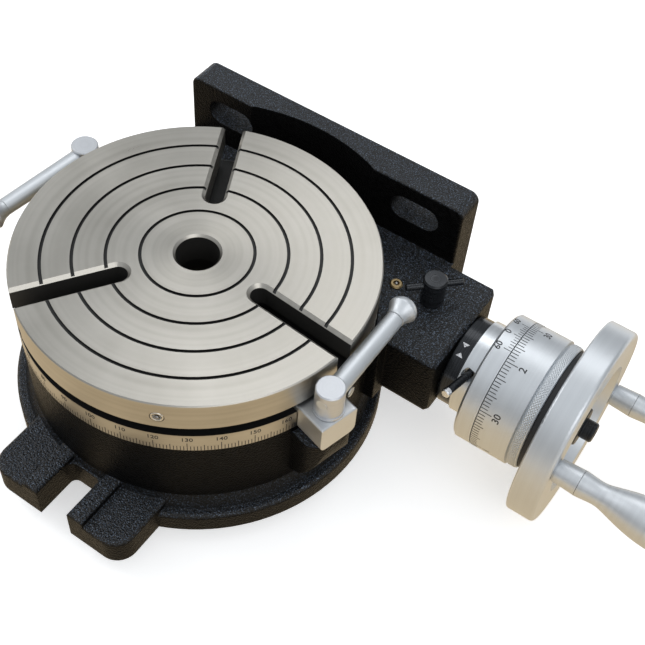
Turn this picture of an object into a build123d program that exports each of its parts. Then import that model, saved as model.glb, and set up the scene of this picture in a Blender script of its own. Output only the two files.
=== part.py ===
from build123d import *
import math
import os

# Horizontal / vertical rotary table, 150 mm, worm driven.
# Row frame, in millimetres: the origin is on the table's axis at the underside of the
# base, +Z runs up the table's axis, +X runs along the worm shaft towards the handwheel,
# and +Y points at the upright mounting plate.

# ---------------------------------------------------------------- driving dimensions
TOP_Z = 80.0            # working height, base underside to table top
TABLE_R = 75.0          # rim of the table
RIM_BOTTOM_Z = 65.6     # underside of the plain rim band
CLAMP_GROOVE_R = 71.5   # bottom of the clamping groove
SCALE_TOP_Z = 60.3      # top of the graduated flange
SCALE_R = 74.8          # graduated flange
SCALE_BOTTOM_Z = 50.4   # underside of the graduated flange
BORE_R = 9.0            # centre bore
BORE_CHAMFER = 1.0
SPINDLE_R = 22.0        # hollow spindle under the table
SPINDLE_BOTTOM_Z = 4.0
RING_GROOVE_R = (23.0, 36.6, 49.9, 62.3)
RING_GROOVE_W = 1.4
RING_GROOVE_D = 0.9

SLOT_ANGLES = (-4.0, 116.0, 236.0)   # three T-slots, 120 degrees apart
SLOT_W = 8.0            # T-slot neck
SLOT_LIP = 1.4          # 45 degree bevel along the neck's edges
SLOT_NECK_H = 10.6
SLOT_HEAD_W = 17.0
SLOT_DEPTH = 18.6
SLOT_TIP_R = 28.9       # radius of the slot's closed inner end

# worm drive
WHEEL_TEETH = 90
WHEEL_PITCH_R = 45.0
WORM_PITCH_R = 7.1
WORM_Y = WHEEL_PITCH_R + WORM_PITCH_R     # worm axis, from the table's axis
WORM_Z = 33.1
TOOTH_ADD = 0.9
TOOTH_DED = 1.15
SIDE_CLEAR = 0.30       # backlash on each flank, so the worm can swing out of mesh
FLANK = math.radians(20)
PITCH = 2 * math.pi * WHEEL_PITCH_R / WHEEL_TEETH
WHEEL_FACE = 7.0
THREAD_TURNS = 5

ECC = 1.5               # throw of the eccentric sleeve
ECC_ANGLE = math.radians(150)
SLEEVE_Y = WORM_Y - ECC * math.cos(ECC_ANGLE)
SLEEVE_Z = WORM_Z - ECC * math.sin(ECC_ANGLE)
SLEEVE_R = 10.6
JOURNAL_R = 6.0
SHAFT_END_R = 5.0       # under the handwheel
RUN = 0.03              # radial clearance of a running fit

# base casting
FLANGE_R = 81.5
FLANGE_H = 10.0
POT_R = 74.5
POT_TOP_Z = 50.1
DECK_Z = 53.5
BODY_X0, BODY_X1 = -66.3, 77.0
PLATE_Y0, PLATE_Y1 = 79.6, 94.6
PLATE_TOP_Z = 84.8
PLATE_SLOT_W, PLATE_SLOT_L = 12.3, 24.0
PLATE_SLOT_Z = 71.2
PLATE_SLOT_DX = 49.3
RELIEF_R = 86.0
EAR_X, EAR_Y = 35.0, -97.0
EAR_SLOT_W, EAR_SLOT_END = 16.0, -76.5
EAR_Z = 13.2            # top of the ears
PAD_W, PAD_Z = 8.0, 16.2
HOUSING_X1 = 99.7
HOUSING_Y0, HOUSING_Y1 = 26.0, 77.8
HOUSING_Z0 = 20.0
CHAMBER_R = 50.0

# worm train, stations along X
COLLAR_X0, RING_X0, VERNIER_X0, DIAL_X0 = 99.7, 106.9, 114.2, 122.7
KNURL_X0, FRICTION_X0, WHEEL_X0, WHEEL_X1 = 139.5, 144.3, 148.4, 160.8
COLLAR_R, RING_R, VERNIER_R, KNURL_R, FRICTION_R = 20.4, 21.3, 29.3, 28.4, 27.6
WHEEL_R = 44.5
DISH_R, DISH_DEPTH = 29.5, 5.8
HUB_R = 11.0
HANDLE_R = 36.8         # handles sit on this radius of the handwheel
HANDLE_ANGLE = 158.0

# clamps
CLAMP_R = 82.2
CLAMP_ANGLE = -15.0
BLOCK_U0, BLOCK_U1, BLOCK_HALF = 72.3, 88.8, 8.8
BLOCK_Z0, BLOCK_Z1 = 49.0, 63.5
HUB_TOP_Z, CLAMP_HUB_R = 77.5, 5.9
LEVER_Z, LEVER_L = 72.3, 51.2
LEVER_ANGLES = (90.0, -96.0)  # where the two levers point at rest
KNOB_R = 6.2
STUD_Z0 = 40.5          # lower end of the clamp studs

# small fittings of the casting
OILER_X, OILER_Y = 63.3, 54.9
PLUG_ANGLE, PLUG_Z = 3.7, 40.4

# sleeve lock screw on the deck
LOCK_X, LOCK_Y = 80.0, 56.5
LOCK_R, LOCK_TOP_Z, LOCK_BAR_Z = 5.2, 67.6, 63.8


# ------------------------------------------------------------------------- helpers
def cyl(r, z0, z1, x=0.0, y=0.0):
    """Upright cylinder between two heights."""
    return Pos(x, y, (z0 + z1) / 2) * Cylinder(r, z1 - z0)


def cyl_x(r, x0, x1, y=WORM_Y, z=WORM_Z):
    """Cylinder along X between two stations."""
    return Pos((x0 + x1) / 2, y, z) * Rot(0, 90, 0) * Cylinder(r, x1 - x0)


def block(x0, x1, y0, y1, z0, z1):
    return Pos((x0 + x1) / 2, (y0 + y1) / 2, (z0 + z1) / 2) * Box(x1 - x0, y1 - y0, z1 - z0)


def upright_slot(x, z, length, width, y0, y1):
    """Oblong hole along X through an upright plate."""
    half = (length - width) / 2
    body = block(x - half, x + half, y0, y1, z - width / 2, z + width / 2)
    for dx in (-half, half):
        body += Pos(x + dx, (y0 + y1) / 2, z) * Rot(90, 0, 0) * Cylinder(width / 2, y1 - y0)
    return body


def revolve_x(points, y=WORM_Y, z=WORM_Z):
    """Solid of revolution about an axis along X from (x, radius) points."""
    face = make_face(Polyline(*[(px, pr, 0) for px, pr in points], close=True))
    return Pos(0, y, z) * revolve(face, axis=Axis.X)


def revolve_z(points):
    """Solid of revolution about Z from (radius, z) points."""
    face = make_face(Polyline(*[(pr, 0, pz) for pr, pz in points], close=True))
    return revolve(face, axis=Axis.Z)


def edges_on_circle(part, radius, x, y=WORM_Y, z=WORM_Z):
    """Circular edges of a part turned about X, at one station and radius."""
    found = []
    for e in part.edges().filter_by(GeomType.CIRCLE):
        c = e.arc_center
        if abs(e.radius - radius) < 1e-3 and abs(c.X - x) < 1e-3:
            found.append(e)
    return found


PARTS = {}


def keep(name, part):
    PARTS[name] = part


# --------------------------------------------------------------------- base casting
flange = cyl(FLANGE_R, 0, FLANGE_H)
flange = fillet(flange.edges().group_by(Axis.Z)[-1], 2.0)
pot = cyl(POT_R, 0, POT_TOP_Z)
pot += Solid.make_cone(POT_R + 3.0, POT_R, 6.0, Plane((0, 0, FLANGE_H)))
deck = block(BODY_X0, BODY_X1, 20, PLATE_Y0 + 2, HOUSING_Z0, DECK_Z)
deck += block(BODY_X0, 68, 20, PLATE_Y0 + 2, 0, HOUSING_Z0)

housing = block(50, HOUSING_X1, HOUSING_Y0, HOUSING_Y1, HOUSING_Z0, DECK_Z)
low_edge = [e for e in housing.edges().filter_by(Axis.X)
            if e.center().Z < HOUSING_Z0 + 1 and e.center().Y < 40]
housing = fillet(low_edge, 5.0)
high_edge = [e for e in housing.edges().filter_by(Axis.X)
             if e.center().Z > DECK_Z - 0.1 and e.center().Y < 40]
housing = fillet(high_edge, 1.6)
housing = chamfer([e for e in housing.edges() if abs(e.center().X - HOUSING_X1) < 1e-3], 1.4)

plate = block(BODY_X0, BODY_X1, PLATE_Y0, PLATE_Y1, 0, PLATE_TOP_Z)
top_corners = [e for e in plate.edges().filter_by(Axis.Y) if e.center().Z > 40]
plate = fillet(top_corners, 4.5)
outline = [e for e in plate.edges() if e.center().Z > 1 and min(abs(e.center().Y - PLATE_Y0),
                                                                abs(e.center().Y - PLATE_Y1)) < 0.01]
plate = fillet(outline, 1.2)
plate_mid_x = (BODY_X0 + BODY_X1) / 2

# the two front ears carry the hold-down slot between them
ears = block(-EAR_X, EAR_X, EAR_Y, -50, 0, EAR_Z)
ears = fillet([e for e in ears.edges().filter_by(Axis.Z) if e.center().Y < -90], 9.0)
ears = fillet(ears.edges().group_by(Axis.Z)[-1], 1.6)
for side in (-1, 1):
    inner = side * EAR_SLOT_W / 2
    outer = side * (EAR_SLOT_W / 2 + PAD_W)
    pad = block(min(inner, outer), max(inner, outer), EAR_Y, -66, 0, PAD_Z)
    ears += fillet(pad.edges().group_by(Axis.Z)[-1], 1.6)
ear_slot = block(-EAR_SLOT_W / 2, EAR_SLOT_W / 2, EAR_Y - 5, EAR_SLOT_END, -1, PAD_Z + 1)
ear_slot = fillet([e for e in ear_slot.edges().filter_by(Axis.Z) if e.center().Y > -80], 3.0)

# rounded bosses under the two clamp blocks, curving back into the pot
BOSS_U1, BOSS_HALF, BOSS_FOOT_Z = BLOCK_U1 - 0.8, BLOCK_HALF + 2.4, 21.0
under = Spline((72, 0, BOSS_FOOT_Z), (78.5, 0, 24.0), (83.5, 0, 29.5), (86.8, 0, 37.0),
               (BOSS_U1, 0, 45.0))
rest = Polyline((BOSS_U1, 0, 45.0), (BOSS_U1, 0, BLOCK_Z0), (60, 0, BLOCK_Z0),
                (60, 0, BOSS_FOOT_Z), (72, 0, BOSS_FOOT_Z))
boss = extrude(make_face(under + rest), BOSS_HALF, both=True)
boss_plan = block(55, BOSS_U1, -BOSS_HALF, BOSS_HALF, 15, BLOCK_Z0)
boss_plan = fillet([e for e in boss_plan.edges().filter_by(Axis.Z) if e.center().X > 80], 7.0)
boss = boss & boss_plan
boss -= cyl(75.4, POT_TOP_Z - 3, 60)

casting = flange + pot + deck + housing + plate + ears
for turn in (0, 180):
    casting += Rot(0, 0, CLAMP_ANGLE + turn) * boss
casting -= ear_slot
# clearance bowl for the table's flange, and the gear chamber under it
casting -= cyl(SCALE_R + 0.5, POT_TOP_Z, 120)
casting -= cyl(RELIEF_R, DECK_Z, 120)
casting -= cyl(CHAMBER_R, 12.0, POT_TOP_Z + 1)
casting += cyl(30.0, 11.0, 28.0)
casting -= cyl(SPINDLE_R + RUN, 5.0, 29.0)
casting -= cyl(31.0, -1.0, 9.0)
# tunnel for the eccentric sleeve, and a narrower blind end past the worm
casting -= cyl_x(SLEEVE_R + RUN, -17.0, HOUSING_X1 + 1, SLEEVE_Y, SLEEVE_Z)
# plate slots
for side in (-1, 1):
    casting -= upright_slot(plate_mid_x + side * PLATE_SLOT_DX, PLATE_SLOT_Z,
                            PLATE_SLOT_L, PLATE_SLOT_W, PLATE_Y0 - 4, PLATE_Y1 + 4)
# tapped hole for the lock screw, seat for the deck oiler, holes for the clamp studs
casting -= cyl(3.05, SLEEVE_Z + SLEEVE_R - 2, DECK_Z + 1, LOCK_X, LOCK_Y)
casting -= cyl(2.4, DECK_Z - 4, DECK_Z + 1, OILER_X, OILER_Y)
for turn in (0, 180):
    casting -= Rot(0, 0, CLAMP_ANGLE + turn) * cyl(4.0, STUD_Z0 - 0.2, BLOCK_Z0 + 1, CLAMP_R, 0)
plug_place = Rot(0, 0, PLUG_ANGLE) * Pos(POT_R, 0, PLUG_Z) * Rot(0, 90, 0)
casting -= plug_place * cyl(2.6, -5, 3)
keep("base_casting", casting)
plug = chamfer(cyl(2.58, -4.8, 0.4).edges().group_by(Axis.Z)[-1], 0.3) - Box(1.0, 8, 1.6)
keep("pot_plug", plug_place * plug)

# ---------------------------------------------------------------------------- table
table = revolve_z([
    (BORE_R, SPINDLE_BOTTOM_Z), (SPINDLE_R - 2, SPINDLE_BOTTOM_Z), (SPINDLE_R - 2, 9.5),
    (SPINDLE_R, 9.5), (SPINDLE_R, 36.6), (32.0, 36.6), (32.0, SCALE_BOTTOM_Z - 1.6),
    (CHAMBER_R - 1.0, SCALE_BOTTOM_Z - 1.6), (CHAMBER_R - 1.0, SCALE_BOTTOM_Z),
    (SCALE_R, SCALE_BOTTOM_Z), (SCALE_R, SCALE_TOP_Z), (CLAMP_GROOVE_R, SCALE_TOP_Z),
    (CLAMP_GROOVE_R, RIM_BOTTOM_Z), (TABLE_R, RIM_BOTTOM_Z), (TABLE_R, TOP_Z - 0.5),
    (TABLE_R - 0.5, TOP_Z), (BORE_R + BORE_CHAMFER, TOP_Z), (BORE_R, TOP_Z - BORE_CHAMFER)])


def t_slot():
    """One T-slot cutter along +X: neck, edge breaks, head, and a rounded inner end."""
    far = TABLE_R + 5
    end = SLOT_TIP_R + SLOT_W / 2
    neck = block(end, far, -SLOT_W / 2, SLOT_W / 2, TOP_Z - SLOT_NECK_H - 0.1, TOP_Z + 1)
    neck += cyl(SLOT_W / 2, TOP_Z - SLOT_NECK_H - 0.1, TOP_Z + 1, end)
    half = SLOT_W / 2
    lip = Polyline((0, -half - SLOT_LIP, TOP_Z), (0, half + SLOT_LIP, TOP_Z),
                   (0, half, TOP_Z - SLOT_LIP), (0, -half, TOP_Z - SLOT_LIP), close=True)
    lips = Pos(end, 0, 0) * extrude(make_face(lip), far - end, dir=(1, 0, 0))
    lips += Pos(end, 0, TOP_Z - SLOT_LIP) * Solid.make_cone(half, half + SLOT_LIP, SLOT_LIP)
    head = block(end + 1, far, -SLOT_HEAD_W / 2, SLOT_HEAD_W / 2,
                 TOP_Z - SLOT_DEPTH, TOP_Z - SLOT_NECK_H)
    head += cyl(SLOT_HEAD_W / 2, TOP_Z - SLOT_DEPTH, TOP_Z - SLOT_NECK_H, end + 1)
    return neck + lips + head


for angle in SLOT_ANGLES:
    table -= Rot(0, 0, angle) * t_slot()
for r in RING_GROOVE_R:
    table -= (cyl(r + RING_GROOVE_W / 2, TOP_Z - RING_GROOVE_D, TOP_Z + 1)
              - cyl(r - RING_GROOVE_W / 2, TOP_Z - RING_GROOVE_D, TOP_Z + 1))
# seat for the rim oiler
RIM_OILER_ANGLE, RIM_OILER_Z, RIM_OILER_R = -63.3, 71.8, 2.9
rim_oiler_seat = Pos(TABLE_R - 2, 0, RIM_OILER_Z) * Rot(0, 90, 0) * Cylinder(RIM_OILER_R, 8)
table -= Rot(0, 0, RIM_OILER_ANGLE) * rim_oiler_seat
# tapped holes for the worm wheel's screws
WHEEL_SCREW_R = 27.0
for k in range(3):
    table -= Rot(0, 0, 56 + 120 * k) * cyl(2.0, 36.0, 45.0, WHEEL_SCREW_R)
keep("table", table)

# ball oilers: a pressed brass cup and its valve ball
oiler_cup = revolve_z([(0, -3.8), (2.4, -3.8), (2.4, 0), (2.9, 0), (2.9, 0.5), (2.3, 1.0),
                       (1.35, 1.0), (1.35, -0.2), (0, -0.2)])
oiler_ball = Pos(0, 0, 0.62) * Sphere(0.8)
keep("deck_oiler_cup", Pos(OILER_X, OILER_Y, DECK_Z) * oiler_cup)
keep("deck_oiler_ball", Pos(OILER_X, OILER_Y, DECK_Z) * oiler_ball)
rim_place = Rot(0, 0, RIM_OILER_ANGLE) * Pos(TABLE_R, 0, RIM_OILER_Z) * Rot(0, 90, 0)
rim_cup = revolve_z([(0, -3.8), (RIM_OILER_R - 0.02, -3.8), (RIM_OILER_R - 0.02, -0.5),
                     (2.5, 0.1), (2.0, 0.1),
                     (1.75, -0.15), (1.75, -1.3), (0, -1.3)])
keep("rim_oiler_cup", rim_place * rim_cup)
keep("rim_oiler_ball", rim_place * Pos(0, 0, -0.22) * Sphere(1.05))


# ----------------------------------------------------------------------- worm wheel
def wheel_blank():
    """Straight-cut wheel outline: flanks of 20 degrees, thinned for backlash."""
    half = PITCH / 4 - SIDE_CLEAR / 2
    tip_r, root_r = WHEEL_PITCH_R + TOOTH_ADD, WHEEL_PITCH_R - TOOTH_DED
    tip_h = half - TOOTH_ADD * math.tan(FLANK)
    root_h = half + TOOTH_DED * math.tan(FLANK)
    pts = []
    for k in range(WHEEL_TEETH):
        mid = math.pi / 2 + (k + 0.5) * 2 * math.pi / WHEEL_TEETH
        for r, h in ((root_r, -root_h), (tip_r, -tip_h), (tip_r, tip_h), (root_r, root_h)):
            a = mid + h / r
            pts.append((r * math.cos(a), r * math.sin(a), 0))
    return make_face(Polyline(*pts, close=True))


wheel_z0 = WORM_Z - WHEEL_FACE / 2
worm_wheel = Pos(0, 0, wheel_z0) * extrude(wheel_blank(), WHEEL_FACE)
worm_wheel -= cyl(SPINDLE_R + 0.02, wheel_z0 - 1, WORM_Z + WHEEL_FACE / 2 + 1)
for k in range(3):
    place = Rot(0, 0, 56 + 120 * k)
    worm_wheel -= place * cyl(2.1, wheel_z0 - 1, WORM_Z + WHEEL_FACE, WHEEL_SCREW_R)
    worm_wheel -= place * cyl(3.6, wheel_z0 - 1, wheel_z0 + 3.4, WHEEL_SCREW_R)
keep("worm_wheel", worm_wheel)

wheel_screw = cyl(3.5, 0, 3.3) + cyl(1.98, 3.3, 14.0) - extrude(RegularPolygon(1.7, 6), 2.0)
keep("worm_wheel_screws", Compound(children=[
    Rot(0, 0, 56 + 120 * k) * Pos(WHEEL_SCREW_R, 0, wheel_z0 + 0.05) * wheel_screw
    for k in range(3)]))

# slotted ring nut that holds the spindle down, with its lock screw
nut = cyl(28.0, SPINDLE_BOTTOM_Z - 1.5, 8.7) - cyl(SPINDLE_R - 2 + 0.02, 0, 10)
for k in range(4):
    nut -= Rot(0, 0, 45 + 90 * k) * block(25.0, 30, -2.5, 2.5, 0, 10)
lock_hole = Pos(24, 0, 5.6) * Rot(0, 90, 0) * Cylinder(1.5, 12)
keep("spindle_nut", nut - lock_hole)
keep("spindle_nut_screw", Pos(24.2, 0, 5.6) * Rot(0, 90, 0) * Cylinder(1.48, 7))


# ------------------------------------------------------------------- worm and shaft
def worm_thread():
    """Single-start right-hand thread about X, swept along a helix."""
    half = PITCH / 4 - SIDE_CLEAR / 2
    root_r, tip_r = WORM_PITCH_R - TOOTH_DED, WORM_PITCH_R + TOOTH_ADD
    sunk = 0.4
    tip_h = half - TOOTH_ADD * math.tan(FLANK)
    root_h = half + (TOOTH_DED + sunk) * math.tan(FLANK)
    length = PITCH * THREAD_TURNS
    path = Helix(PITCH, length, WORM_PITCH_R)
    section = Polyline((root_r - sunk, 0, -root_h), (tip_r, 0, -tip_h),
                       (tip_r, 0, tip_h), (root_r - sunk, 0, root_h), close=True)
    face = make_face(section)
    thread = sweep(face, path=path, is_frenet=True)
    return thread, length


KEY_X0, KEY_X1 = 128.0, 144.0
thread, thread_len = worm_thread()
# turned so that a thread crest meets a wheel gap at the closest point
thread = Pos(0, 0, -thread_len / 2) * thread
thread = Rot(90, 0, 0) * Rot(0, 90, 0) * thread
WORM_ROOT_R = WORM_PITCH_R - TOOTH_DED
core = revolve_x([
    (-14.0, 0), (-14.0, 5.0), (-10.0, 5.0), (-10.0, WORM_ROOT_R), (10.0, WORM_ROOT_R),
    (10.0, 5.4), (24.0, 5.4), (24.0, JOURNAL_R), (112.0, JOURNAL_R), (112.0, SHAFT_END_R),
    (157.0, SHAFT_END_R), (157.0, 0)], 0, 0)
core -= Pos(150, 0, 0) * Rot(0, 90, 0) * Cylinder(2.52, 20)
core -= block(KEY_X0 - 0.05, KEY_X1 + 0.1, -1.5, 1.5, 3.3, 6.0)
worm = core + thread
worm = Pos(0, WORM_Y, WORM_Z) * worm
keep("worm_shaft", worm)

# ------------------------------------------------------- eccentric sleeve and its ring
NOSE_R = 9.0
sleeve = cyl_x(SLEEVE_R, 24.0, RING_X0, SLEEVE_Y, SLEEVE_Z)
sleeve += cyl_x(SLEEVE_R - 0.6, RING_X0, VERNIER_X0, SLEEVE_Y, SLEEVE_Z)
# its nose is back on the worm's axis and carries the vernier ring
sleeve += cyl_x(NOSE_R, VERNIER_X0, DIAL_X0 - 0.35)
sleeve -= cyl_x(JOURNAL_R + RUN, 20.0, 125.0)
keep("eccentric_sleeve", sleeve)

collar = cyl_x(COLLAR_R, COLLAR_X0, RING_X0 - 0.15, SLEEVE_Y, SLEEVE_Z)
collar = chamfer(edges_on_circle(collar, COLLAR_R, COLLAR_X0), 0.8)
collar -= cyl_x(SLEEVE_R + RUN, COLLAR_X0 - 1, RING_X0 + 1, SLEEVE_Y, SLEEVE_Z)
keep("sleeve_collar", collar)

# the pin leaves the ring's rim at one angle and leans over to point at another
PIN_FOOT, PIN_LEAN, PIN_TILT = math.radians(140.2), 170.0, 7.7
PIN_X, PIN_L = 110.3, 14.7
ring = cyl_x(RING_R, RING_X0, VERNIER_X0, SLEEVE_Y, SLEEVE_Z)
ring -= cyl_x(SLEEVE_R - 0.6 + 0.02, RING_X0 - 1, VERNIER_X0 + 1, SLEEVE_Y, SLEEVE_Z)
pin_place = (Pos(PIN_X, SLEEVE_Y + RING_R * math.cos(PIN_FOOT), SLEEVE_Z + RING_R * math.sin(PIN_FOOT))
             * Rot(PIN_LEAN, 0, 0) * Rot(-90, 0, 0) * Rot(0, -PIN_TILT, 0))
ring -= pin_place * cyl(1.75, -7.0, 12)
ring -= pin_place * cyl(2.7, -1.6, 12)
keep("sleeve_ring", ring)
pin = pin_place * cyl(1.7, -6.6, PIN_L - 0.9)
keep("sleeve_pin", pin)
tip = revolve_z([(0, -0.9), (1.95, -0.9), (1.95, 1.0), (1.5, 1.5), (0, 1.5)])
keep("sleeve_pin_tip", pin_place * Pos(0, 0, PIN_L) * tip)

vernier = revolve_x([(VERNIER_X0, NOSE_R + 0.02), (VERNIER_X0, VERNIER_R - 1.0),
                     (VERNIER_X0 + 1.0, VERNIER_R), (DIAL_X0 - 0.35, VERNIER_R),
                     (DIAL_X0 - 0.35, NOSE_R + 0.02)])
keep("vernier_ring", vernier)

# ------------------------------------------------------------------ dial and friction ring
dial = revolve_x([(DIAL_X0, HUB_R + RUN), (DIAL_X0, VERNIER_R), (KNURL_X0 - 0.7, VERNIER_R),
                  (KNURL_X0, KNURL_R - 0.25), (KNURL_X0 + 0.5, KNURL_R),
                  (FRICTION_X0 - 0.6, KNURL_R), (FRICTION_X0 - 0.2, KNURL_R - 0.4),
                  (FRICTION_X0 - 0.2, HUB_R + RUN)])
keep("dial", dial)
friction = revolve_x([(FRICTION_X0, HUB_R + 0.05), (FRICTION_X0, FRICTION_R),
                      (WHEEL_X0, FRICTION_R), (WHEEL_X0, HUB_R + 0.05)])
keep("friction_ring", friction)

# ------------------------------------------------------------------------- handwheel
wheel = cyl_x(WHEEL_R, WHEEL_X0, WHEEL_X1)
wheel = fillet(edges_on_circle(wheel, WHEEL_R, WHEEL_X0), 1.0)
wheel = fillet(edges_on_circle(wheel, WHEEL_R, WHEEL_X1), 1.9)
dish = revolve_x([(WHEEL_X1 + 1, 0), (WHEEL_X1 + 1, DISH_R), (WHEEL_X1, DISH_R),
                  (WHEEL_X1 - DISH_DEPTH, DISH_R - 2.5), (WHEEL_X1 - DISH_DEPTH, 0)])
hub_face_x = WHEEL_X1 - 3.4
dish -= revolve_x([(WHEEL_X1 - 8, 0), (WHEEL_X1 - 8, HUB_R + 1.5), (hub_face_x, HUB_R),
                   (hub_face_x, 0)])
wheel -= dish
wheel += cyl_x(HUB_R, DIAL_X0 + 0.4, WHEEL_X0 + 1)
wheel -= cyl_x(SHAFT_END_R + 0.02, 100.0, 170.0)
wheel -= Pos(0, WORM_Y, WORM_Z) * block(120.0, KEY_X1 + 0.1, -1.5, 1.5, 0, 6.5)
handle_seats = []
for turn in (0, 180):
    a = math.radians(HANDLE_ANGLE + turn)
    hy, hz = WORM_Y + HANDLE_R * math.cos(a), WORM_Z + HANDLE_R * math.sin(a)
    handle_seats.append((hy, hz))
    wheel -= cyl_x(3.0, WHEEL_X1 - 8, WHEEL_X1 + 1, hy, hz)
keep("handwheel", wheel)

key = Pos(0, WORM_Y, WORM_Z) * block(KEY_X0, KEY_X1, -1.48, 1.48, 3.32, 6.45)
keep("handwheel_key", fillet(key.edges().filter_by(Axis.Z), 1.4))
washer = cyl_x(8.5, hub_face_x, hub_face_x + 2.0) - cyl_x(2.8, 100, 200)
keep("handwheel_washer", chamfer(edges_on_circle(washer, 8.5, hub_face_x + 2.0), 0.4))
bolt_x = hub_face_x + 2.0
bolt = cyl_x(4.4, bolt_x, bolt_x + 5.4)
bolt = chamfer(edges_on_circle(bolt, 4.4, bolt_x + 5.4), 0.6)
bolt += cyl_x(2.5, bolt_x - 15, bolt_x)
hexagon = Rot(0, 90, 0) * extrude(RegularPolygon(2.3, 6), 4)
bolt -= Pos(bolt_x + 3.0, WORM_Y, WORM_Z) * hexagon
keep("handwheel_bolt", bolt)

# crank handles: a shouldered stud, a loose grip on it, and the screw that keeps the grip
SHOULDER_L = 9.6
GRIP_X0 = WHEEL_X1 + 0.6 + SHOULDER_L + 0.15
GRIP_L = 54.0
STUD_R = 3.0
grip_points = [(0.0, 5.55), (2.0, 5.4), (5.0, 5.1), (8.5, 4.95), (12.5, 5.75), (17.0, 7.0),
               (21.5, 8.1), (26.0, 8.9), (31.0, 9.4), (36.0, 9.5), (42.0, 9.1), (48.0, 8.1),
               (52.0, 6.9)]
for number, (hy, hz) in enumerate(handle_seats, start=1):
    stud = revolve_x([(WHEEL_X1 - 7.5, 0), (WHEEL_X1 - 7.5, 2.98), (WHEEL_X1, 2.98),
                      (WHEEL_X1, 4.3), (WHEEL_X1 + 0.6, 4.3), (WHEEL_X1 + 0.6, 4.95),
                      (GRIP_X0 - 0.15, 5.5), (GRIP_X0 - 0.15, STUD_R),
                      (GRIP_X0 + GRIP_L - 5.2, STUD_R), (GRIP_X0 + GRIP_L - 5.2, 0)], hy, hz)
    stud -= cyl_x(1.52, GRIP_X0 + GRIP_L - 16, GRIP_X0 + GRIP_L, hy, hz)
    keep(f"handle_stud_{number}", stud)
    curve = Spline(*[(GRIP_X0 + px, pr, 0) for px, pr in grip_points])
    nose = Polyline((GRIP_X0 + 52.0, 6.9, 0), (GRIP_X0 + 53.4, 6.1, 0), (GRIP_X0 + GRIP_L, 4.9, 0),
                    (GRIP_X0 + GRIP_L, STUD_R + 0.05, 0), (GRIP_X0, STUD_R + 0.05, 0),
                    (GRIP_X0, 5.55, 0))
    grip = revolve(make_face(curve + nose), axis=Axis.X)
    grip = Pos(0, hy, hz) * grip
    grip -= cyl_x(4.2, GRIP_X0 + GRIP_L - 5.0, GRIP_X0 + GRIP_L + 1, hy, hz)
    keep(f"handle_grip_{number}", grip)
    cap = cyl_x(3.9, GRIP_X0 + GRIP_L - 4.8, GRIP_X0 + GRIP_L - 2.2, hy, hz)
    cap += cyl_x(1.5, GRIP_X0 + GRIP_L - 15.5, GRIP_X0 + GRIP_L - 4.7, hy, hz)
    cap -= Pos(GRIP_X0 + GRIP_L - 2.2, hy, hz) * Box(1.6, 9, 0.9)
    keep(f"handle_end_screw_{number}", cap)

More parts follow.
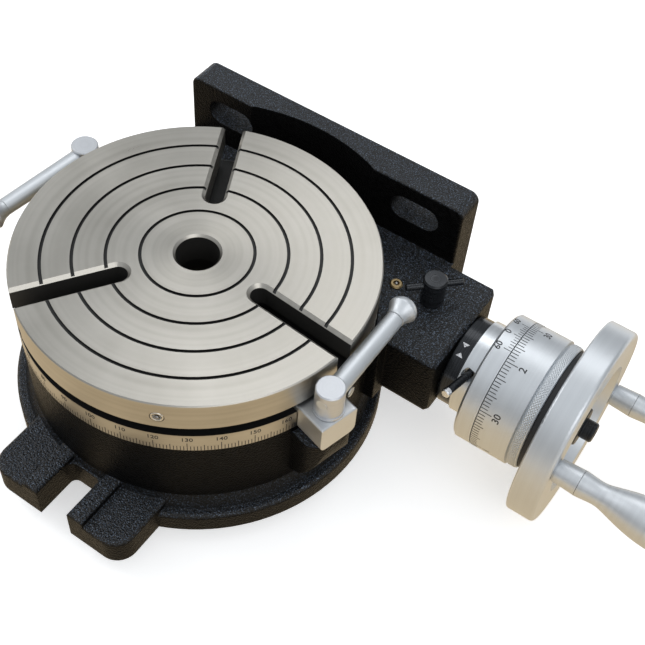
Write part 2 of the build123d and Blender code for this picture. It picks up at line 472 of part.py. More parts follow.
# ---------------------------------------------------------------------------- clamps
for number, lever_angle in enumerate(LEVER_ANGLES, start=1):
    turn = 180.0 * (number - 1)
    place = Rot(0, 0, CLAMP_ANGLE + turn)
    jaw = block(BLOCK_U0 - 4, BLOCK_U1, -BLOCK_HALF, BLOCK_HALF, BLOCK_Z0, BLOCK_Z1)
    jaw = fillet([e for e in jaw.edges().filter_by(Axis.X) if e.center().Z < 50], 3.0)
    jaw -= cyl(BLOCK_U0, SCALE_TOP_Z - 20, 90)
    jaw -= cyl(SCALE_R + 0.5, SCALE_TOP_Z - 20, SCALE_TOP_Z + 0.3)
    jaw -= cyl(4.15, 40, 90, CLAMP_R, 0)
    rim_edges = [e for e in jaw.edges().filter_by(GeomType.LINE)
                 if e.center().Z > BLOCK_Z1 - 0.01 and e.center().X > 76]
    jaw = chamfer(rim_edges, 0.5)
    keep(f"clamp_block_{number}", place * jaw)
    stud = cyl(3.98, STUD_Z0, 67.4, CLAMP_R, 0)
    stud = chamfer(stud.edges().filter_by(GeomType.CIRCLE), 0.6)
    keep(f"clamp_stud_{number}", place * stud)

    hub = cyl(CLAMP_HUB_R, BLOCK_Z1 + 0.2, HUB_TOP_Z, CLAMP_R, 0)
    hub += cyl(CLAMP_HUB_R + 0.4, BLOCK_Z1 + 0.2, BLOCK_Z1 + 1.4, CLAMP_R, 0)
    hub = chamfer([e for e in hub.edges().filter_by(GeomType.CIRCLE)
                   if e.center().Z > 70], 0.5)
    hub -= cyl(4.08, BLOCK_Z1 - 1, 67.9, CLAMP_R, 0)
    # the arm lies across the hub and ends in a flared knob
    swing = lever_angle - turn - CLAMP_ANGLE
    across = Pos(CLAMP_R, 0, LEVER_Z) * Rot(0, 0, swing)
    arm_points = [(-CLAMP_HUB_R + 0.1, 0), (-CLAMP_HUB_R + 0.1, 2.4), (CLAMP_HUB_R - 2.0, 2.4),
                  (CLAMP_HUB_R - 2.0, 4.1), (LEVER_L - 5.6, 3.75), (LEVER_L - 5.6, 2.3),
                  (LEVER_L + 1.0, 2.3), (LEVER_L + 1.0, 0)]
    rod = across * revolve_x(arm_points, 0, 0)
    cross_hole = across * cyl_x(2.42, -10, 10, 0, 0)
    rod -= cyl(CLAMP_HUB_R + 0.01, 60, 90, CLAMP_R, 0) - across * cyl_x(2.4, -10, 10, 0, 0)
    keep(f"clamp_hub_{number}", place * (hub - cross_hole))
    keep(f"lever_arm_{number}", place * rod)
    flare = Spline((LEVER_L - 5.45, 3.9, 0), (LEVER_L - 3.4, 4.35, 0), (LEVER_L - 1.4, 5.35, 0),
                   (LEVER_L, KNOB_R, 0))
    rim = Line((LEVER_L, KNOB_R, 0), (LEVER_L + 0.5, KNOB_R, 0))
    dome = Spline((LEVER_L + 0.5, KNOB_R, 0), (LEVER_L + 2.6, 5.3, 0), (LEVER_L + 4.3, 3.3, 0),
                  (LEVER_L + 5.1, 0, 0))
    back = Polyline((LEVER_L + 5.1, 0, 0), (LEVER_L - 5.45, 0, 0), (LEVER_L - 5.45, 3.9, 0))
    knob = revolve(make_face(flare + rim + dome + back), axis=Axis.X)
    knob -= cyl_x(2.32, LEVER_L - 9, LEVER_L + 1.05, 0, 0)
    keep(f"lever_ball_{number}", place * across * knob)

# ------------------------------------------------------------------ sleeve lock screw
lock = revolve_z([(0, SLEEVE_Z + SLEEVE_R + 0.6), (3.0, SLEEVE_Z + SLEEVE_R + 0.6),
                  (3.0, DECK_Z), (3.0, DECK_Z + 0.2), (LOCK_R - 0.5, DECK_Z + 0.2),
                  (LOCK_R, DECK_Z + 0.8), (LOCK_R, LOCK_TOP_Z - 0.6),
                  (LOCK_R - 0.6, LOCK_TOP_Z), (0, LOCK_TOP_Z)])
bar_place = Pos(LOCK_X, LOCK_Y, LOCK_BAR_Z) * Rot(0, 0, 45)
lock = Pos(LOCK_X, LOCK_Y, 0) * lock
keep("lock_screw", lock - bar_place * cyl_x(1.52, -20, 20, 0, 0))
bar = cyl_x(1.5, -12.5, 12.5, 0, 0)
bar = chamfer(bar.edges().filter_by(GeomType.CIRCLE), 0.3)
keep("lock_screw_bar", bar_place * bar)

# ---------------------------------------------------------------------------- export
os.makedirs("parts", exist_ok=True)
for name, part in PARTS.items():
    export_step(part, f"parts/{name}.step")
    solids = part.solids()
    print(f"{name:22s} solids {len(solids)}  volume {sum(s.volume for s in solids):10.1f}")
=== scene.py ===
import bmesh
import bpy
import math
from mathutils import Euler, Matrix, Vector


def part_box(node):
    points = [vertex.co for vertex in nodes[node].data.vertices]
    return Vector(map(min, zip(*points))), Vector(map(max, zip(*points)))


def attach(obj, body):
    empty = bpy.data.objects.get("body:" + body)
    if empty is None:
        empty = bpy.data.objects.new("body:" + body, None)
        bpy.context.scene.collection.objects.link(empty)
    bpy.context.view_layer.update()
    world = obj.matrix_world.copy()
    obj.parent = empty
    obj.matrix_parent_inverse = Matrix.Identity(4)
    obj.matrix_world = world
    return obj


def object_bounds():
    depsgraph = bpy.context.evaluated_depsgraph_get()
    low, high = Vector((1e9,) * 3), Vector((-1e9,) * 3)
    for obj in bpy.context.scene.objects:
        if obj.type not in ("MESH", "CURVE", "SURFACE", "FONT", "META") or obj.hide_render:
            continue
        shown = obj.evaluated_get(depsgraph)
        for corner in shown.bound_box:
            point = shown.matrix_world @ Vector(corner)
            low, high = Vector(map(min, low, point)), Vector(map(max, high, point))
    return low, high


# The looks of a 150 mm rotary table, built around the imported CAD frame.
# Lengths are in metres. Z is the table's axis and X runs along the worm.

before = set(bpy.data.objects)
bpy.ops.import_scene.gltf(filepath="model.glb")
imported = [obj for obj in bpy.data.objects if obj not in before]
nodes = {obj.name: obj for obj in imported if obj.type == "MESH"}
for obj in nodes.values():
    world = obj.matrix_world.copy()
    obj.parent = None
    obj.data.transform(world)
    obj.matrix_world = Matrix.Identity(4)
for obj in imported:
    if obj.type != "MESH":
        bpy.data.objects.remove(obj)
cad_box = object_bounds()
MM = 0.001


# ---------------------------------------------------------------- places, from the frame
def centre_of(node):
    lo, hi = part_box(node)
    return (lo + hi) / 2


def radius_of(node):
    lo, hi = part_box(node)
    return (hi.y - lo.y) / 2


def axis_of(node):
    """The point at x = 0 on the axis of a node that is turned about X."""
    middle = centre_of(node)
    return Vector((0, middle.y, middle.z))


table_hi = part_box("table")[1]
TOP_Z = table_hi.z
RIM_R = table_hi.x
WORM = axis_of("friction_ring")
SLEEVE = axis_of("sleeve_collar")
COLLAR_X = centre_of("sleeve_collar").x
COLLAR_R = radius_of("sleeve_collar")
DIAL_X0, DIAL_X1 = [corner.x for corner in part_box("dial")]
DIAL_R = radius_of("dial")
VERNIER_X1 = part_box("vernier_ring")[1].x
ORIGIN = Vector((0, 0, 0))

SCALE_R = RIM_R - 0.2 * MM          # graduated flange
SCALE_Z0 = TOP_Z - 29.6 * MM        # its lower edge

# where the table's surface is dark
RING_RADII = [r * MM for r in (23.0, 36.6, 49.9, 62.3)]
RING_HALF_W = 0.74 * MM             # turned rings: half width, and heights of floor and lip
RING_Z0, RING_Z1 = TOP_Z - 1.1 * MM, TOP_Z - 0.12 * MM
GROOVE_Z0, GROOVE_Z1 = TOP_Z - 19.72 * MM, TOP_Z - 14.38 * MM     # clamping groove
GROOVE_R = RIM_R - 0.35 * MM
SLOT_Z0, SLOT_Z1 = TOP_Z - 18.4 * MM, TOP_Z - 1.45 * MM     # T-slots, floor to bevel
SLOT_R0, SLOT_R1 = 12 * MM, RIM_R - 0.12 * MM
BORE_R, BORE_Z1 = 9.6 * MM, TOP_Z - 1.2 * MM
PAINTED_SHADE = 0.95                         # painted shade: how dark the slots' walls and the deep bore are painted
LIT_SLOT_Y, LIT_SLOT_SHARE = 10 * MM, 0.85      # painted light: the slot beyond this is lit, and that share of its painted shade is taken off


# ------------------------------------------------------------------------ node helpers
class Shade:
    """A material's node tree with short ways to add nodes."""

    def __init__(self, name):
        self.material = bpy.data.materials.new(name)
        self.material.use_nodes = True
        self.tree = self.material.node_tree
        self.bsdf = self.tree.nodes["Principled BSDF"]

    def add(self, kind, inputs=None, **settings):
        made = self.tree.nodes.new(kind)
        for key, value in settings.items():
            setattr(made, key, value)
        for key, value in (inputs or {}).items():
            self.feed(made.inputs[key], value)
        return made

    def feed(self, socket, value):
        if isinstance(value, bpy.types.NodeSocket):
            self.tree.links.new(value, socket)
        else:
            socket.default_value = value

    def surface(self, **sockets):
        """Feeds the shader; an underscore stands for a space in a socket's name."""
        for name, value in sockets.items():
            self.feed(self.bsdf.inputs[name.replace("_", " ")], value)
        return self.material

    def calc(self, operation, a, b=0.0, c=0.0):
        made = self.tree.nodes.new("ShaderNodeMath")
        made.operation = operation
        for socket, value in zip(made.inputs, (a, b, c)):
            self.feed(socket, value)
        return made.outputs[0]

    def product(self, a, b):
        return self.calc("MULTIPLY", a, b)

    def weighted(self, *terms):
        """The sum of (value, weight) pairs."""
        total = 0.0
        for value, weight in terms:
            total = self.calc("MULTIPLY_ADD", value, weight, total)
        return total

    def point(self):
        return self.add("ShaderNodeTexCoord").outputs["Object"]

    def split(self, vector):
        return self.add("ShaderNodeSeparateXYZ", {0: vector}).outputs

    def noise(self, vector, scale, detail=2.0, roughness=0.5):
        return self.add("ShaderNodeTexNoise", {"Vector": vector, "Scale": scale, "Detail": detail,
                                               "Roughness": roughness}).outputs["Fac"]

    def round_lines(self, a, b, scale, detail=2.0, roughness=0.5):
        """Noise that runs round a turned part; a and b are the height and radius on it."""
        spot = self.add("ShaderNodeCombineXYZ", {0: self.product(a, scale), 1: self.product(b, scale)})
        return self.noise(spot.outputs[0], 1.0, detail, roughness)

    def ramp(self, value, low, high, to_low=0.0, to_high=1.0):
        return self.add("ShaderNodeMapRange", {"Value": value, "From Min": low, "From Max": high,
                                               "To Min": to_low, "To Max": to_high}).outputs[0]

    def blend(self, factor, a, b):
        made = self.add("ShaderNodeMix", {"Factor": factor}, data_type="RGBA")
        self.feed(made.inputs[6], a)
        self.feed(made.inputs[7], b)
        return made.outputs[2]

    def between(self, value, low, high):
        """1 where value lies between low and high, 0 outside."""
        return self.product(self.calc("GREATER_THAN", value, low),
                            self.calc("LESS_THAN", value, high))

    def bump(self, height, distance, strength=1.0, normal=None):
        made = self.add("ShaderNodeBump", {"Height": height, "Distance": distance,
                                           "Strength": strength})
        if normal is not None:
            self.feed(made.inputs["Normal"], normal)
        return made.outputs[0]

    def rounded(self, radius):
        """The surface normal with its sharp edges softened."""
        return self.add("ShaderNodeBevel", {"Radius": radius}, samples=4).outputs[0]

    def turned(self, axis, centre):
        """(distance along the axis, distance from it) of a point on a turned part."""
        offset = self.add("ShaderNodeVectorMath", {0: self.point(), 1: centre}, operation="SUBTRACT")
        across = Vector([0.0 if i == axis else 1.0 for i in range(3)])
        flat = self.add("ShaderNodeVectorMath", {0: offset.outputs[0], 1: across},
                        operation="MULTIPLY")
        radius = self.add("ShaderNodeVectorMath", {0: flat.outputs[0]}, operation="LENGTH")
        return self.split(offset.outputs[0])[axis], radius.outputs["Value"]


def rgb(r, g, b):
    return (r, g, b, 1.0)


def scaled(color, factor=1.0):
    return rgb(*[c * factor for c in color])


# --------------------------------------------------------------------------- materials
def crinkle_paint(name="crinkle_paint_black"):
    """Thick black crinkle paint on rough cast iron; faces that look up get painted sparkle, pale
    blue-grey specks in their colour, and more shine.
    """
    s = Shade(name)
    p = s.point()
    facing = s.split(s.add("ShaderNodeNewGeometry").outputs["Normal"])[2]
    upward = s.ramp(facing, 0.25, 0.85)
    warp = s.noise(p, 760.0, 3.0)
    cell = s.add("ShaderNodeTexVoronoi", {"Vector": p, "Scale": 1350.0, "Smoothness": 0.6},
                 feature="SMOOTH_F1").outputs["Distance"]
    fine = s.noise(p, 1900.0, 2.5, 0.65)
    crinkle = s.weighted((cell, 0.9), (fine, 0.55), (warp, 0.7))
    cast = s.noise(p, 60.0, 3.0)
    normal = s.bump(cast, 0.8 * MM, 0.35, s.rounded(1.1 * MM))
    dull = s.blend(s.ramp(warp, 0.4, 0.65), rgb(0.0018, 0.0018, 0.0018), rgb(0.005, 0.005, 0.005))
    # painted highlight: pale specks in the colour of faces that look up, standing in for sparkle
    painted_sparkle = s.product(s.ramp(fine, 0.56, 0.63), upward)
    return s.surface(Base_Color=s.blend(painted_sparkle, dull, rgb(0.115, 0.15, 0.205)),
                     Roughness=s.ramp(warp, 0.3, 0.7, 0.27, 0.44),
                     Specular_IOR_Level=s.calc("MULTIPLY_ADD", upward, 0.36, 0.055),
                     Normal=s.bump(crinkle, 0.42 * MM, 1.0, normal))


def turned_metal(name, axis, centre, color, rough, ring=0.02):
    """Machined metal with fine turning lines round an axis; ring is their depth in mm."""
    s = Shade(name)
    along, radius = s.turned(axis, centre)
    lines = s.round_lines(along, radius, 4200.0, 2.0, 0.7)
    broad = s.round_lines(along, radius, 700.0, 1.0)
    smudge = s.noise(s.point(), 38.0, 4.0, 0.6)
    wear = s.weighted((broad, 0.5), (smudge, 0.5))
    return s.surface(Base_Color=s.blend(s.ramp(wear, 0.35, 0.65), scaled(color, 0.9), scaled(color)),
                     Roughness=s.ramp(wear, 0.3, 0.7, rough - 0.05, rough + 0.07), Metallic=1.0,
                     Normal=s.bump(lines, ring * MM, 0.6, s.rounded(0.25 * MM)))


def satin_metal(name, color, rough, edge=0.3):
    """Satin metal with a faint even grain; edge is the softening of its corners in mm."""
    s = Shade(name)
    p = s.point()
    grain = s.noise(p, 2080.0, 3.0, 0.6)
    smudge = s.noise(p, 45.0, 4.0, 0.6)
    return s.surface(Base_Color=s.blend(s.ramp(smudge, 0.35, 0.65), scaled(color, 0.92), scaled(color)),
                     Roughness=s.ramp(smudge, 0.3, 0.7, rough - 0.04, rough + 0.06), Metallic=1.0,
                     Normal=s.bump(grain, 0.02 * MM, 0.5, s.rounded(edge * MM)))


def table_iron(name="table_ground_iron"):
    """Bright turned iron; the rings and the clamping groove are dark, and painted shade darkens the
    bore and the T-slots' walls, less on the lit side.
    """
    s = Shade(name)
    p = s.point()
    height, radius = s.turned(2, ORIGIN)
    lines = s.round_lines(radius, height, 3600.0, 2.0, 0.7)
    broad = s.round_lines(radius, height, 420.0, 1.0)
    smudge = s.noise(p, 26.0, 4.0, 0.6)
    wear = s.weighted((broad, 0.4), (smudge, 0.6))
    bright = s.blend(s.ramp(wear, 0.35, 0.65), rgb(0.40, 0.383, 0.345), rgb(0.50, 0.482, 0.442))

    rings = 0.0
    for ring in RING_RADII:
        off = s.calc("ABSOLUTE", s.calc("SUBTRACT", radius, ring))
        rings = s.calc("MAXIMUM", rings, s.calc("LESS_THAN", off, RING_HALF_W))
    rings = s.product(rings, s.between(height, RING_Z0, RING_Z1))
    groove = s.product(s.between(height, GROOVE_Z0, GROOVE_Z1), s.calc("LESS_THAN", radius, GROOVE_R))
    # painted shade on the T-slots' walls and down the bore, where shade falls
    walls = s.product(s.between(height, SLOT_Z0, SLOT_Z1), s.between(radius, SLOT_R0, SLOT_R1))
    # painted light: a slot on the lit side loses most of its painted shade
    lit_slot = s.calc("GREATER_THAN", s.split(p)[1], LIT_SLOT_Y)
    walls = s.product(walls, s.calc("MULTIPLY_ADD", lit_slot, -LIT_SLOT_SHARE, 1.0))
    bore = s.product(s.calc("LESS_THAN", radius, BORE_R), s.calc("LESS_THAN", height, BORE_Z1))
    shade_mask = s.product(s.calc("MAXIMUM", walls, bore), PAINTED_SHADE)
    dark = s.calc("MAXIMUM", s.calc("MAXIMUM", rings, groove), shade_mask)

    rough = s.ramp(wear, 0.3, 0.7, 0.27, 0.38)
    tangent = s.add("ShaderNodeTangent", direction_type="RADIAL", axis="Z").outputs[0]
    return s.surface(Base_Color=s.blend(dark, bright, rgb(0.012, 0.012, 0.012)),
                     Metallic=s.calc("MULTIPLY_ADD", dark, -0.8, 1.0),
                     Roughness=s.calc("MULTIPLY_ADD", dark, 0.15, rough),
                     Anisotropic=0.72, Tangent=tangent, Normal=s.bump(lines, 0.025 * MM, 0.5))


def black_metal(name, axis, centre, rough=0.32):
    """Blackened steel with faint turning lines."""
    s = Shade(name)
    along, radius = s.turned(axis, centre)
    lines = s.round_lines(along, radius, 2600.0, 2.0, 0.6)
    smudge = s.noise(s.point(), 160.0, 3.0)
    return s.surface(Base_Color=s.blend(s.ramp(lines, 0.4, 0.7), rgb(0.010, 0.011, 0.013),
                                        rgb(0.040, 0.045, 0.052)),
                     Roughness=s.ramp(smudge, 0.3, 0.7, rough - 0.08, rough + 0.1), Metallic=0.55,
                     Normal=s.bump(lines, 0.03 * MM, 0.7, s.rounded(0.25 * MM)))


def black_rubber(name="ring_black_matte"):
    s = Shade(name)
    grain = s.noise(s.point(), 2200.0, 2.0)
    return s.surface(Base_Color=s.blend(grain, rgb(0.006, 0.006, 0.007), rgb(0.018, 0.018, 0.02)),
                     Roughness=s.ramp(grain, 0.3, 0.7, 0.5, 0.65),
                     Normal=s.bump(grain, 0.05 * MM, 0.5))


def engraved_ink(name, color, rough=0.6):
    s = Shade(name)
    patchy = s.noise(s.point(), 900.0, 2.0)
    return s.surface(Base_Color=s.blend(s.ramp(patchy, 0.35, 0.8), scaled(color), scaled(color, 1.7)),
                     Roughness=s.ramp(patchy, 0.3, 0.7, rough - 0.1, rough + 0.1),
                     Normal=s.bump(patchy, 0.01 * MM, 0.4))


SILVER = (0.66, 0.69, 0.72)
PLAIN = (0.56, 0.55, 0.53)

INK = engraved_ink("ink_black", (0.010, 0.010, 0.012))
PALE_INK = engraved_ink("ink_pale", (0.55, 0.56, 0.58))
PLAIN_STEEL = satin_metal("steel_plain", PLAIN, 0.34)
DIAL_METAL = turned_metal("dial_satin", 0, WORM, SILVER, 0.42, ring=0.018)
WHEEL_METAL = turned_metal("handwheel_satin", 0, WORM, SILVER, 0.42, ring=0.03)
BRASS = satin_metal("brass_worn", (0.30, 0.225, 0.12), 0.36)
BRONZE = satin_metal("gear_bronze", (0.55, 0.36, 0.16), 0.36)

finish = {
    "base_casting": crinkle_paint(),
    "table": table_iron(),
    "pot_plug": satin_metal("plug_steel", SILVER, 0.3),
    "deck_oiler_cup": BRASS, "deck_oiler_ball": PLAIN_STEEL,
    "rim_oiler_cup": satin_metal("rim_oiler_steel", (0.62, 0.6, 0.56), 0.28),
    "rim_oiler_ball": satin_metal("ball_dark_steel", (0.25, 0.24, 0.23), 0.25),
    "worm_wheel": BRONZE, "worm_wheel_screws": black_metal("screw_black", 2, ORIGIN),
    "spindle_nut": PLAIN_STEEL, "spindle_nut_screw": PLAIN_STEEL, "worm_shaft": PLAIN_STEEL,
    "eccentric_sleeve": PLAIN_STEEL, "handwheel_key": PLAIN_STEEL,
    "sleeve_collar": black_metal("collar_black", 0, SLEEVE, 0.2),
    "sleeve_ring": turned_metal("sleeve_ring_satin", 0, SLEEVE, SILVER, 0.33),
    "sleeve_pin": black_metal("pin_black", 1, centre_of("sleeve_pin"), 0.22),
    "sleeve_pin_tip": satin_metal("pin_tip_bright", (0.82, 0.83, 0.85), 0.25),
    "vernier_ring": DIAL_METAL, "dial": DIAL_METAL, "friction_ring": black_rubber(),
    "handwheel": WHEEL_METAL,
    "handwheel_washer": black_metal("washer_black", 0, WORM, 0.4),
    "handwheel_bolt": black_metal("bolt_black", 0, WORM, 0.3),
    "lock_screw": black_metal("lock_screw_black", 2, centre_of("lock_screw"), 0.26),
    "lock_screw_bar": black_metal("lock_bar_dark", 2, centre_of("lock_screw"), 0.24),
}
for n in (1, 2):
    grip_centre = centre_of(f"handle_grip_{n}")
    hub_centre = centre_of(f"clamp_hub_{n}")
    handle = turned_metal(f"handle_satin_{n}", 0, grip_centre, SILVER, 0.43, ring=0.012)
    lever = satin_metal(f"lever_satin_{n}", (0.68, 0.71, 0.74), 0.45, edge=0.5)
    finish.update({
        f"handle_grip_{n}": handle, f"handle_stud_{n}": handle,
        f"handle_end_screw_{n}": PLAIN_STEEL,
        f"clamp_block_{n}": satin_metal(f"clamp_block_satin_{n}", (0.68, 0.70, 0.72), 0.40, edge=0.6),
        f"clamp_stud_{n}": PLAIN_STEEL,
        f"clamp_hub_{n}": turned_metal(f"clamp_hub_satin_{n}", 2, hub_centre, (0.64, 0.66, 0.69), 0.46),
        f"lever_arm_{n}": lever, f"lever_ball_{n}": lever,
    })
for name, material in finish.items():
    data = nodes[name].data
    data.materials.clear()
    data.materials.append(material)


# ------------------------------------------------------------------------ marks and numerals
PROUD = 0.02 * MM           # how far ticks and arrows stand above the surface
GLYPH_PROUD = 0.03 * MM     # and numerals
GLYPH_BOLD = 0.012          # thickening of a numeral's strokes, per unit of size


def on_upright_cylinder(radius, angle, z0):
    """Wraps (u, v, w) onto a cylinder about Z: u runs round it, v up, w outwards."""
    def place(u, v, w):
        a = math.radians(angle) + u / radius
        r = radius + w
        return Vector((r * math.cos(a), r * math.sin(a), z0 + v))
    return place


def on_worm_cylinder(radius, angle, x0, axis=WORM):
    """Wraps (u, v, w) onto a cylinder along X: u runs round it, v towards -X, w outwards."""
    def place(u, v, w):
        a = math.radians(angle) - u / radius
        r = radius + w
        return Vector((x0 - v, axis.y + r * math.cos(a), axis.z + r * math.sin(a)))
    return place


def add_prism(mesh, place, outline, low, high):
    """A flat outline that stands from low to high on the surface."""
    bottom = [mesh.verts.new(place(u, v, low)) for u, v in outline]
    top = [mesh.verts.new(place(u, v, high)) for u, v in outline]
    mesh.faces.new(top)
    mesh.faces.new(bottom[::-1])
    for i in range(len(outline)):
        j = (i + 1) % len(outline)
        mesh.faces.new((bottom[i], bottom[j], top[j], top[i]))


def add_tick(mesh, place, width, v0, v1):
    half = width / 2
    add_prism(mesh, place, [(-half, v0), (half, v0), (half, v1), (-half, v1)], -2 * PROUD, PROUD)


def glyph_mesh(text, size):
    curve = bpy.data.curves.new("glyph", "FONT")
    curve.body = text
    curve.size = size
    curve.extrude = GLYPH_PROUD
    curve.offset = size * GLYPH_BOLD
    curve.resolution_u = 3
    curve.align_x = "CENTER"
    curve.align_y = "CENTER"
    holder = bpy.data.objects.new("glyph", curve)
    bpy.context.scene.collection.objects.link(holder)
    bpy.context.view_layer.update()
    made = bpy.data.meshes.new_from_object(holder)
    bpy.data.objects.remove(holder)
    bpy.data.curves.remove(curve)
    return made


def add_text(mesh, place, text, size):
    source = glyph_mesh(text, size)
    new = [mesh.verts.new(place(v.co.x, v.co.y, v.co.z)) for v in source.vertices]
    for face in source.polygons:
        mesh.faces.new([new[i] for i in face.vertices])
    bpy.data.meshes.remove(source)


def finish_piece(name, mesh, body, material):
    bmesh.ops.recalc_face_normals(mesh, faces=mesh.faces)
    data = bpy.data.meshes.new(name)
    mesh.to_mesh(data)
    mesh.free()
    data.materials.append(material)
    for face in data.polygons:
        face.use_smooth = False
    piece = bpy.data.objects.new(name, data)
    bpy.context.scene.collection.objects.link(piece)
    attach(piece, body)


def tick_length(k, lengths):
    """The length that belongs to the coarsest step k falls on; lengths runs coarse to fine."""
    return next(length * MM for step, length in lengths if k % step == 0)


# the table's degree scale: ticks rise from the flange's lower edge, numbers sit above them
SCALE_ZERO = -185.3                         # degrees, where 0 stands at rest
SCALE_TICKS = ((10, 4.8), (5, 3.8), (1, 2.8))
SCALE_TICK_W, SCALE_GAP = 0.32 * MM, 0.15 * MM
SCALE_TEXT_UP, SCALE_TEXT = 7.1 * MM, 3.2 * MM
ticks, numerals = bmesh.new(), bmesh.new()
for degree in range(360):
    place = on_upright_cylinder(SCALE_R, degree + SCALE_ZERO, SCALE_Z0)
    add_tick(ticks, place, SCALE_TICK_W, SCALE_GAP, tick_length(degree, SCALE_TICKS))
    if degree % 10 == 0:
        above = on_upright_cylinder(SCALE_R, degree + SCALE_ZERO, SCALE_Z0 + SCALE_TEXT_UP)
        add_text(numerals, above, str(degree), SCALE_TEXT)
finish_piece("table_scale_ticks", ticks, "table", INK)
finish_piece("table_scale_numbers", numerals, "table", INK)

# the dial: 2-minute marks, a number each half degree, four degrees a turn
DIAL_MARKS = 120
HALF_DEGREE = 15                            # marks from one number to the next
DIAL_TWO = 110.5                            # degrees, where the figure 2 stands at rest
DIAL_TICKS = ((HALF_DEGREE, 5.4), (5, 4.3), (1, 3.1))
DIAL_TICK_W = 0.36 * MM
DIAL_TEXT_X, DIAL_TEXT = 7.8 * MM, 4.4 * MM
EDGE_GAP = 0.1 * MM                         # ticks start this far from the edge
ticks, numerals = bmesh.new(), bmesh.new()
for k in range(DIAL_MARKS):
    angle = DIAL_TWO - k * 360.0 / DIAL_MARKS
    edge = on_worm_cylinder(DIAL_R, angle, DIAL_X0)
    add_tick(ticks, edge, DIAL_TICK_W, -tick_length(k, DIAL_TICKS), -EDGE_GAP)
    if k % HALF_DEGREE == 0:
        halves = (4 + k // HALF_DEGREE) % 8
        label = "30" if halves % 2 else str(halves // 2)
        middle = on_worm_cylinder(DIAL_R, angle, DIAL_X0 + DIAL_TEXT_X)
        add_text(numerals, middle, label, DIAL_TEXT)
finish_piece("dial_ticks", ticks, "dial", INK)
finish_piece("dial_numbers", numerals, "dial", INK)

# the vernier: six divisions each side of its zero, ten seconds apiece
VERNIER_SIDE = 6
VERNIER_ZERO = 84.9                         # degrees
VERNIER_STEP = 11.0 / 12.0 * 360.0 / DIAL_MARKS
VERNIER_TICKS = ((VERNIER_SIDE, 3.4), (3, 2.6), (1, 2.0))
VERNIER_TICK_W = 0.29 * MM
VERNIER_TEXT_X, VERNIER_TEXT = 5.8 * MM, 3.9 * MM
ticks, numerals = bmesh.new(), bmesh.new()
for k in range(-VERNIER_SIDE, VERNIER_SIDE + 1):
    angle = VERNIER_ZERO + k * VERNIER_STEP
    edge = on_worm_cylinder(DIAL_R, angle, VERNIER_X1)
    add_tick(ticks, edge, VERNIER_TICK_W, EDGE_GAP, tick_length(k, VERNIER_TICKS))
    if k % VERNIER_SIDE == 0:
        middle = on_worm_cylinder(DIAL_R, angle, VERNIER_X1 - VERNIER_TEXT_X)
        add_text(numerals, middle, "60" if k else "0", VERNIER_TEXT)
finish_piece("vernier_ticks", ticks, "sleeve", INK)
finish_piece("vernier_numbers", numerals, "sleeve", INK)

# turning-direction arrows on the black collar, either side of one spot
ARROW_ANGLE, ARROW_APART = 118.0, 9.0       # degrees
ARROW_HALF_W, ARROW_L = 1.6 * MM, 1.9 * MM
arrows = bmesh.new()
for side in (-1, 1):
    spot = on_worm_cylinder(COLLAR_R, ARROW_ANGLE + ARROW_APART * side, COLLAR_X, SLEEVE)
    outline = [(0, ARROW_HALF_W), (ARROW_L * side, 0), (0, -ARROW_HALF_W)]
    add_prism(arrows, spot, outline[::-side], -PROUD, PROUD)
finish_piece("collar_arrows", arrows, "base", PALE_INK)


# the dial's knurled band: crossed ridges round its far end
KNURL_R = DIAL_R - 0.78 * MM
KNURL_TEETH, KNURL_ROWS = 130, 3
KNURL_DEPTH = 0.45 * MM
KNURL_SUNK = 0.25 * MM                      # the band's two edges dip into the dial
KNURL_CUTS = 4                              # mesh steps to a tooth and to a row


def knurled_band(name, x0, x1):
    mesh = bmesh.new()
    around, along = KNURL_TEETH * KNURL_CUTS, KNURL_ROWS * KNURL_CUTS
    rings = []
    for j in range(along + 1):
        t = j / along
        x = x0 + (x1 - x0) * t
        v = t * KNURL_ROWS
        sunk = 0.0 if 0 < j < along else KNURL_SUNK
        ring = []
        for i in range(around):
            u = i / KNURL_CUTS
            ridge = abs(((u + v) % 1.0) - 0.5) + abs(((u - v) % 1.0) - 0.5)
            r = KNURL_R + KNURL_DEPTH * (ridge - 0.5) - sunk
            a = 2 * math.pi * i / around
            ring.append(mesh.verts.new((x, WORM.y + r * math.cos(a), WORM.z + r * math.sin(a))))
        rings.append(ring)
    for j in range(along):
        for i in range(around):
            k = (i + 1) % around
            mesh.faces.new((rings[j][i], rings[j][k], rings[j + 1][k], rings[j + 1][i]))
    finish_piece(name, mesh, "dial", DIAL_METAL)


knurled_band("dial_knurl", DIAL_X1 - 4.3 * MM, DIAL_X1 - 0.7 * MM)


# --------------------------------------------------------------------------- stage
def level_sheet(name, cells, size, material):
    mesh = bmesh.new()
    bmesh.ops.create_grid(mesh, x_segments=cells, y_segments=cells, size=size)
    data = bpy.data.meshes.new(name)
    mesh.to_mesh(data)
    mesh.free()
    data.materials.append(material)
    sheet = bpy.data.objects.new(name, data)
    bpy.context.scene.collection.objects.link(sheet)
    return sheet


def area_light(name, place, target, size, power):
    data = bpy.data.lights.new(name, "AREA")
    data.shape = "RECTANGLE"
    data.size, data.size_y = size
    data.energy = power
    lamp = bpy.data.objects.new(name, data)
    bpy.context.scene.collection.objects.link(lamp)
    lamp.location = place
    lamp.rotation_euler = (Vector(target) - Vector(place)).to_track_quat("-Z", "Y").to_euler()


FLOOR_Z = cad_box[0].z - 0.05 * MM
pale = Shade("floor_pale").surface(Base_Color=rgb(0.93, 0.93, 0.93), Roughness=0.9,
                                   Specular_IOR_Level=0.0, Emission_Color=rgb(1.0, 1.0, 1.0),
                                   Emission_Strength=0.5)
floor = level_sheet("floor", 8, 4.0, pale)
floor.location.z = FLOOR_Z

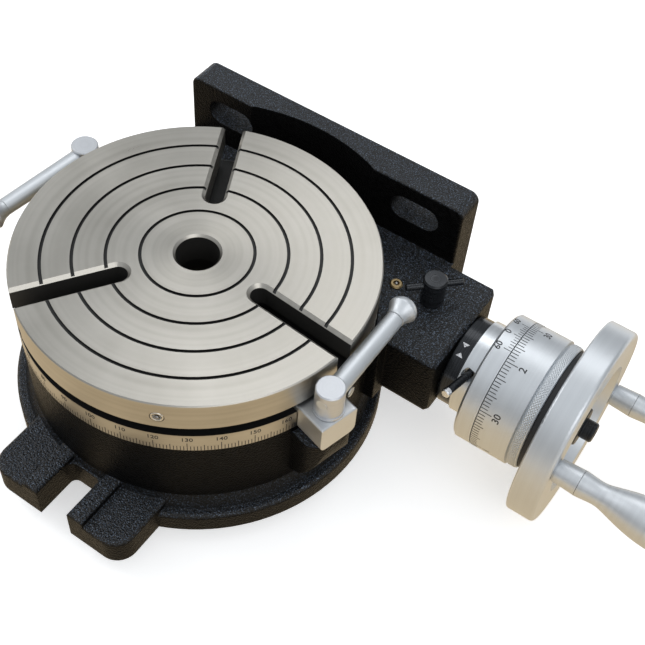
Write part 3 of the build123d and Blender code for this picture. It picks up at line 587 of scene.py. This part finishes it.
# a warm card on the floor, seen only in reflections
glow = Shade("card_warm").surface(Base_Color=rgb(0.0, 0.0, 0.0), Roughness=0.9,
                                  Emission_Color=rgb(1.0, 0.80, 0.53), Emission_Strength=0.78)
card = level_sheet("warm_card", 4, 0.5, glow)
card.location = (-0.02, -0.10, FLOOR_Z + 0.02 * MM)
card.scale = (0.85, 0.75, 1.0)
card.visible_camera = False
card.visible_diffuse = False
card.visible_shadow = False

# a pale dome, brighter overhead than at the horizon
world = bpy.data.worlds.new("studio")
bpy.context.scene.world = world
world.use_nodes = True
sky = world.node_tree.nodes
links = world.node_tree.links
direction = sky.new("ShaderNodeTexCoord")
height = sky.new("ShaderNodeSeparateXYZ")
dome = sky.new("ShaderNodeMapRange")
for key, value in (("From Min", 0.0), ("From Max", 0.85), ("To Min", 0.28), ("To Max", 0.80)):
    dome.inputs[key].default_value = value
links.new(direction.outputs["Generated"], height.inputs[0])
links.new(height.outputs["Z"], dome.inputs["Value"])
links.new(dome.outputs[0], sky["Background"].inputs["Strength"])
sky["Background"].inputs["Color"].default_value = rgb(0.94, 0.97, 1.0)

# name, place, aim, size and power in watts
area_light("key", (-0.13, 0.66, 1.12), (0.02, 0, 0.05), (0.6, 0.5), 1.7)
area_light("left", (-0.95, -0.1, 0.9), (0.0, 0, 0.05), (0.6, 0.6), 3.4)
area_light("fill", (0.9, -0.5, 0.9), (0.05, 0, 0.05), (0.8, 0.8), 3.0)

# --------------------------------------------------------------------------- camera
CAM_AZ, CAM_EL, CAM_ROLL = math.radians(30.41), math.radians(51.40), math.radians(5.15)
CAM_PLACE = Vector((197.67, -233.20, 419.34)) * MM
LENS, SENSOR = 63.03, 36.0
camera_data = bpy.data.cameras.new("camera")
camera_data.lens = LENS
camera_data.sensor_width = SENSOR
camera_data.clip_start = 0.02
camera = bpy.data.objects.new("camera", camera_data)
turn = Euler((math.pi / 2 - CAM_EL, 0, CAM_AZ), "XYZ").to_matrix() @ Matrix.Rotation(CAM_ROLL, 3, "Z")
camera.matrix_world = Matrix.Translation(CAM_PLACE) @ turn.to_4x4()
bpy.context.scene.collection.objects.link(camera)
bpy.context.scene.camera = camera
bpy.context.scene.view_settings.view_transform = "Standard"
